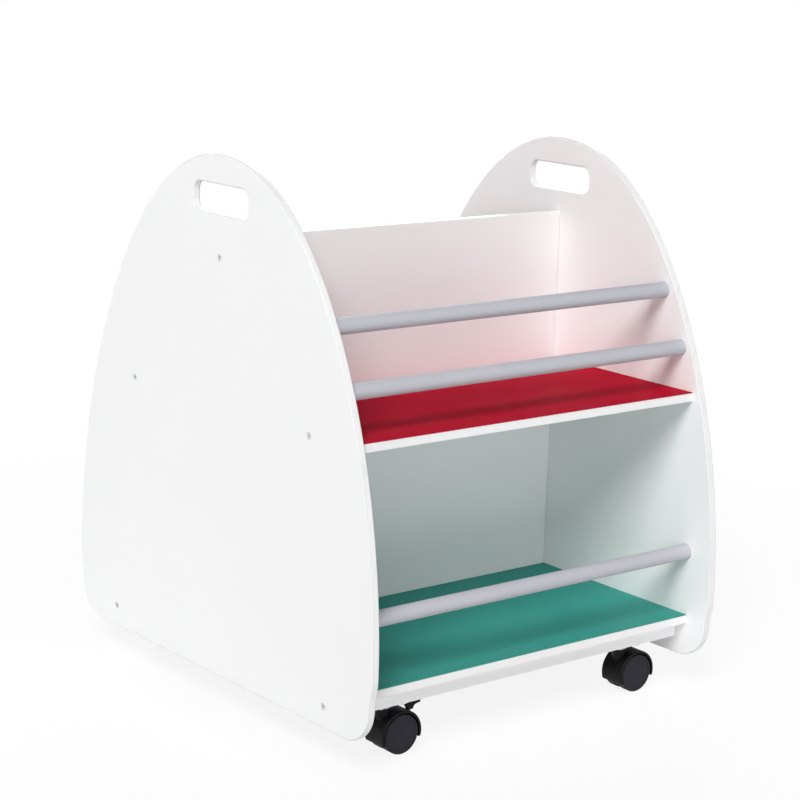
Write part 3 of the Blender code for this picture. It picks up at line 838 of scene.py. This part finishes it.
def plate_screws(tree):
    """Wood screws that hold the caster plates up to the rails, four in each plate."""
    points = []
    for name in caster_names:
        middle = middle_of(name + "_plate")
        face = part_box(name + "_plate")[1].z - plate_thickness - plate_screw_head_depth - fit_gap
        points += [(middle.x + x, middle.y + y, face) for x, y in hole_places()]
    piece = tree.make(
        "plate_screws",
        points,
        screw_zinc,
        face=plate_screw_face_radius,
        neck=plate_screw_rim_radius,
        head_depth=plate_screw_head_depth,
        shank=plate_screw_shank_radius,
        length=plate_thickness + plate_screw_head_depth / 2,
        socket=plate_screw_socket_radius,
        socket_depth=plate_screw_socket_depth,
        turn=(math.pi, 0.0, 0.0),
    )
    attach(piece, "case")


# Casters

wheel_low, wheel_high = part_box("front_left_wheel_a")
wheel_width = wheel_high.y - wheel_low.y
wheel_radius = (wheel_high.z - wheel_low.z) / 2
axle_height = (wheel_high.z + wheel_low.z) / 2
caster_trail = (wheel_low.x + wheel_high.x) / 2 - middle_of("front_left_plate").x
chamber_radius = wheel_radius + tread_corner_margin + tread_clearance
hood_radius = chamber_radius + hood_wall
hood_half_width = web_thickness / 2 + wheel_side_gap + wheel_width
boss_top = axle_height + hood_radius + boss_rise
stem_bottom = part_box("front_left_plate")[0].z
plate_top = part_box("front_left_plate")[1].z


def wheel_mesh(shoulder_count=7, heel_count=5, dish_count=4):
    """One wheel turned about Z, with its inner face at height 0 and its dished disc on top."""
    disc = wheel_radius - wheel_dish_margin
    bore = axle_radius + fit_gap
    floor = wheel_width - wheel_bore_floor
    edge = wheel_edge_radius
    shoulder = arc((wheel_radius - edge, wheel_width - edge), edge, quarter_turn, 0, shoulder_count)
    heel = arc((wheel_radius - edge / 2, edge / 2), edge / 2, 0, -quarter_turn, heel_count)
    dish = arc((disc - wheel_dish_depth, wheel_width), wheel_dish_depth, -quarter_turn, 0, dish_count)
    profile = [(0, wheel_width - wheel_dish_depth), *dish, *shoulder, *heel]
    profile += [(bore, 0), (bore, floor), (0, floor)]
    return smoothed(turned("wheel", profile, wheel_sides))


def wheels(name):
    """The two wheels of a caster, back to back."""
    mesh = wheel_mesh()
    for letter, turn in (("a", to_y), ("b", to_y.inverted())):
        node = f"{name}_wheel_{letter}"
        low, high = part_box(node)
        inner = high.y if letter == "a" else low.y
        place = Matrix.Translation(((low.x + high.x) / 2, inner, axle_height)) @ turn
        piece = place_object(node + "_tyre", moved(mesh, place), wheel_plastic)
        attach(piece, node)
        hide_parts(node)


def pedal_pivot():
    """The pedal's pivot in the caster's frame, as (x, z), in the middle of the hood's wall."""
    reach = hood_radius - hood_wall / 2
    return caster_trail + reach * math.cos(pedal_angle), axle_height + reach * math.sin(pedal_angle)


def crossing(name, radius, half_length, x, z):
    """A rod along Y through (x, z)."""
    return cylinder(name, radius, 2 * half_length, Matrix.Translation((x, 0, z)) @ to_y)


def hood_outline(end_count=10, rim_count=80, hub_count=24):
    """A drum sector round the wheels: a rim with rounded ends, and a hub at its centre."""
    inset = hood_radius - hood_end_radius
    turn = math.asin(hood_end_radius / inset)
    rear = hood_rear_angle + turn
    front = hood_front_angle - turn
    rear_centre = (inset * math.cos(rear), inset * math.sin(rear))
    front_centre = (inset * math.cos(front), inset * math.sin(front))
    rim = arc(rear_centre, hood_end_radius, hood_rear_angle - quarter_turn, rear, end_count)
    rim += arc((0, 0), hood_radius, rear, front, rim_count)[1:-1]
    rim += arc(front_centre, hood_end_radius, front, hood_front_angle + quarter_turn, end_count)
    return rim + arc((0, 0), hub_radius, hood_front_angle, 2 * math.pi + hood_rear_angle, hub_count)


def hood_shell():
    """The hood before it is hollowed."""
    shell = sheet_of("hood", [hood_outline()], 2 * hood_half_width, hood_edge_radius, edge_steps=2)
    shell.transform(Matrix.Translation((caster_trail, 0, axle_height)) @ to_y)
    return shell


def swivel_boss(rim_count=5):
    """The round housing that holds the stem, tapered where it runs into the hood."""
    rim = arc((boss_radius - boss_edge, boss_top - boss_edge), boss_edge, quarter_turn, 0, rim_count)
    profile = [(0, boss_top), *rim, (boss_radius, boss_top - boss_skirt / 2)]
    profile += [(boss_foot_radius, boss_top - boss_skirt), (0, boss_top - boss_skirt)]
    return turned("boss", profile, bar_sides)


def hood_mesh(braked):
    """A caster hood in the caster's frame: the swivel axis is Z and the floor is at height 0."""
    pivot = pedal_pivot()
    grip = pedal_width / 2 + fit_gap
    ear_reach = grip + pedal_ear_width
    tools = [(swivel_boss(), "UNION")]
    if braked:
        tools.append((crossing("ears", pedal_ear_radius, ear_reach, *pivot), "UNION"))
    middle = web_thickness / 2 + hood_half_width
    for side in (-1, 1):
        place = Matrix.Translation((caster_trail, side * middle, axle_height)) @ to_y
        chamber = cylinder("chamber", chamber_radius, 2 * hood_half_width, place, wheel_sides)
        tools.append((chamber, "DIFFERENCE"))
    depth = boss_top - stem_bottom + fit_gap
    stem_hole = cylinder("stem_hole", stem_radius + fit_gap, 2 * depth, Matrix.Translation((0, 0, boss_top)))
    tools.append((stem_hole, "DIFFERENCE"))
    axle_hole = crossing("axle_hole", axle_radius + fit_gap, web_thickness, caster_trail, axle_height)
    tools.append((axle_hole, "DIFFERENCE"))
    if braked:
        room = pedal_barrel_radius + pedal_slot_room
        low = Vector((pivot[0] - pedal_barrel_radius - 2 * fit_gap, -grip, pivot[1] - room))
        high = Vector((pivot[0] + room, grip, pivot[1] + hood_radius))
        tools.append((block("pedal_slot", low, high), "DIFFERENCE"))
        stub_room = crossing("stub_room", pedal_stub_radius + fit_gap, ear_reach + fit_gap, *pivot)
        tools.append((stub_room, "DIFFERENCE"))
    return smoothed(combined(hood_shell(), tools))


def pedal_outline(tip_count=13, wedge_count=12):
    """The pedal's side view as (x, z), from its pivot round the wedge, the tongue's tip and its heel."""
    along = Vector((math.cos(pedal_slope), math.sin(pedal_slope)))
    inward = Vector((along.y, -along.x))
    tip_radius = pedal_thickness / 2
    heel = Vector((-pedal_heel, pedal_heel_height))
    length = (pedal_reach + pedal_heel - tip_radius) / along.x
    tip_centre = heel + along * length + inward * tip_radius
    tip = arc(tip_centre, tip_radius, pedal_slope - quarter_turn, pedal_slope + quarter_turn, tip_count)
    corner = Vector((pedal_wedge_reach, pedal_wedge_height))
    underside = heel + inward * pedal_thickness
    wedge_end = underside + along * ((pedal_wedge_end - underside.x) / along.x)
    rise = Vector((0, pedal_wedge_pull))
    hollow = (corner, corner + rise, wedge_end - along * pedal_wedge_pull, wedge_end)
    foot = [(0, 0), (pedal_barrel_radius, 0), (pedal_neck, pedal_wedge_height)]
    wedge = [bezier_point(hollow, i / wedge_count) for i in range(wedge_count + 1)]
    return foot + wedge + tip + [tuple(heel), (0, pedal_neck_height)]


def pedal_mesh(bow_count=25):
    """The brake pedal about its pivot: the tongue's tip is bowed, and the neck has a barrel and two stubs."""
    blade = sheet_of("pedal", [pedal_outline()], pedal_width, pedal_edge, edge_steps=2)
    blade.transform(to_y)
    bow = arc((pedal_reach - pedal_tip_bow, 0), pedal_tip_bow, -quarter_turn, quarter_turn, bow_count)
    back = [(-2 * pedal_tip_bow, pedal_tip_bow), (-2 * pedal_tip_bow, -pedal_tip_bow)]
    plan = sheet_of("pedal_plan", [bow + back], 2 * pedal_reach)
    barrel = crossing("barrel", pedal_barrel_radius, pedal_width / 2 - fit_gap, 0, 0)
    stubs = crossing("stubs", pedal_stub_radius, pedal_width / 2 + pedal_ear_width, 0, 0)
    return smoothed(combined(blade, [(plan, "INTERSECT"), (barrel, "UNION"), (stubs, "UNION")]))


def plate_mesh(hole_count=24):
    """The steel mounting plate with its swivel neck and stem, in the caster's frame."""
    outline = rounded_rectangle(plate_size, plate_size, plate_corner_radius)
    holes = [arc(place, plate_hole_radius, 2 * math.pi, 0, hole_count + 1)[:-1] for place in hole_places()]
    plate = sheet_of("plate", [outline, *holes], plate_thickness, plate_edge_radius, edge_steps=1)
    middle = plate_top - plate_thickness / 2
    plate.transform(Matrix.Translation((0, 0, middle)))
    neck_bottom = boss_top + fit_gap
    profile = (
        (0, middle),
        (neck_radius, middle),
        (neck_radius, neck_bottom),
        (stem_radius, neck_bottom),
        (stem_radius, stem_bottom),
        (0, stem_bottom),
    )
    return smoothed(combined(plate, [(turned("neck", profile, bar_sides), "UNION")]))


def casters():
    """Four casters. The front left and rear right ones have a brake pedal."""
    hoods = {braked: hood_mesh(braked) for braked in (True, False)}
    plate = plate_mesh()
    pedal = pedal_mesh()
    pivot_x, pivot_z = pedal_pivot()
    for name in caster_names:
        middle = middle_of(name + "_plate")
        swivel = Matrix.Translation((middle.x, middle.y, 0))
        hood = place_object(name + "_cowl", moved(hoods[name in braked_casters], swivel), hood_plastic)
        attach(hood, name + "_caster")
        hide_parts(name + "_hood")
        base = place_object(name + "_swivel_plate", moved(plate, swivel), plate_zinc)
        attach(base, "case")
        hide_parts(name + "_plate")
        wheels(name)
        if name in braked_casters:
            place = swivel @ Matrix.Translation((pivot_x, 0, pivot_z))
            lever = place_object(name + "_brake_lever", moved(pedal, place), hood_plastic)
            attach(lever, name + "_pedal")
            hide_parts(name + "_pedal")


def dress_boards():
    """Finishes for the solids that stay as they are."""
    finishes = {
        "mid_laminate": red_laminate,
        "bottom_laminate": green_laminate,
        "shelf": melamine,
        "divider": melamine,
        "rail": rail_white,
        "dowel_left": dowel_beech,
        "dowel_right": dowel_beech,
        "axle": plate_zinc,
    }
    for name, node in nodes.items():
        for ending, material in finishes.items():
            if name.endswith("_" + ending):
                for slot in node.material_slots:
                    slot.material = material


# Studio

def soft_lamp(name, place, size, power):
    """A round lamp that looks at the middle of the case."""
    lamp = bpy.data.lights.new(name, "AREA")
    lamp.shape = "DISK"
    lamp.size = size
    lamp.energy = power
    holder = new_object(name, lamp)
    holder.location = place
    holder.rotation_euler = (lamp_aim - Vector(place)).to_track_quat("-Z", "Y").to_euler()


def white_world():
    """White where it is seen, and a softer fill where it lights the object."""
    world = bpy.data.worlds.new("studio")
    bpy.context.scene.world = world
    world.use_nodes = True
    world.node_tree.nodes.clear()
    tree = Tree(world.node_tree)
    strength = world_fill + tree.seen_directly() * (1 - world_fill)
    light = tree.node("ShaderNodeBackground", {}, {"Color": colour(1.0, 1.0, 1.0), "Strength": strength})
    tree.node("ShaderNodeOutputWorld", {}, {"Surface": light})


def pale_floor():
    """A white floor that keeps a soft shadow near the object and is plain white further off.

    Its glow is the share of plain white in what is seen near the object.
    """
    material = bpy.data.materials.new("studio_floor")
    material.use_nodes = True
    material.node_tree.nodes.clear()
    tree = Tree(material.node_tree)
    where = tree.node("ShaderNodeTexCoord", {}, {}, "Object")
    distance = tree.node("ShaderNodeVectorMath", {"operation": "LENGTH"}, {0: where}, "Value")
    plain = tree.between(distance, floor_glow_start, floor_glow_end, floor_glow, 1.0)
    matt = tree.node("ShaderNodeBsdfDiffuse", {}, {"Color": colour(floor_tone, floor_tone, floor_tone)})
    white = tree.node("ShaderNodeEmission", {}, {})
    blend = tree.node("ShaderNodeMixShader", {}, {0: tree.seen_directly() * plain, 1: matt, 2: white})
    tree.node("ShaderNodeOutputMaterial", {}, {"Surface": blend})
    cage = bmesh.new()
    bmesh.ops.create_grid(cage, x_segments=1, y_segments=1, size=floor_half_size)
    place_object("studio_floor", mesh_from("studio_floor", cage), material)


def set_camera():
    lens = bpy.data.cameras.new("camera")
    lens.lens = view_lens
    lens.sensor_width = view_sensor
    camera = new_object("camera", lens)
    turn = Matrix((view_right, view_up, -view_ahead)).transposed().to_4x4()
    camera.matrix_world = Matrix.Translation(view_place + Vector((0, 0, panel_bottom))) @ turn
    bpy.context.scene.camera = camera


set_camera()
for side_name, side in panel_sides.items():
    side_panel(side_name, side)
round_bars()
screws = screw_tree()
for side_name, side in panel_sides.items():
    connector_screws(screws, side_name, side)
plate_screws(screws)
casters()
dress_boards()
white_world()
pale_floor()
for lamp_name, values in lamps.items():
    soft_lamp(lamp_name, **values)
bpy.context.scene.view_settings.view_transform = "Standard"
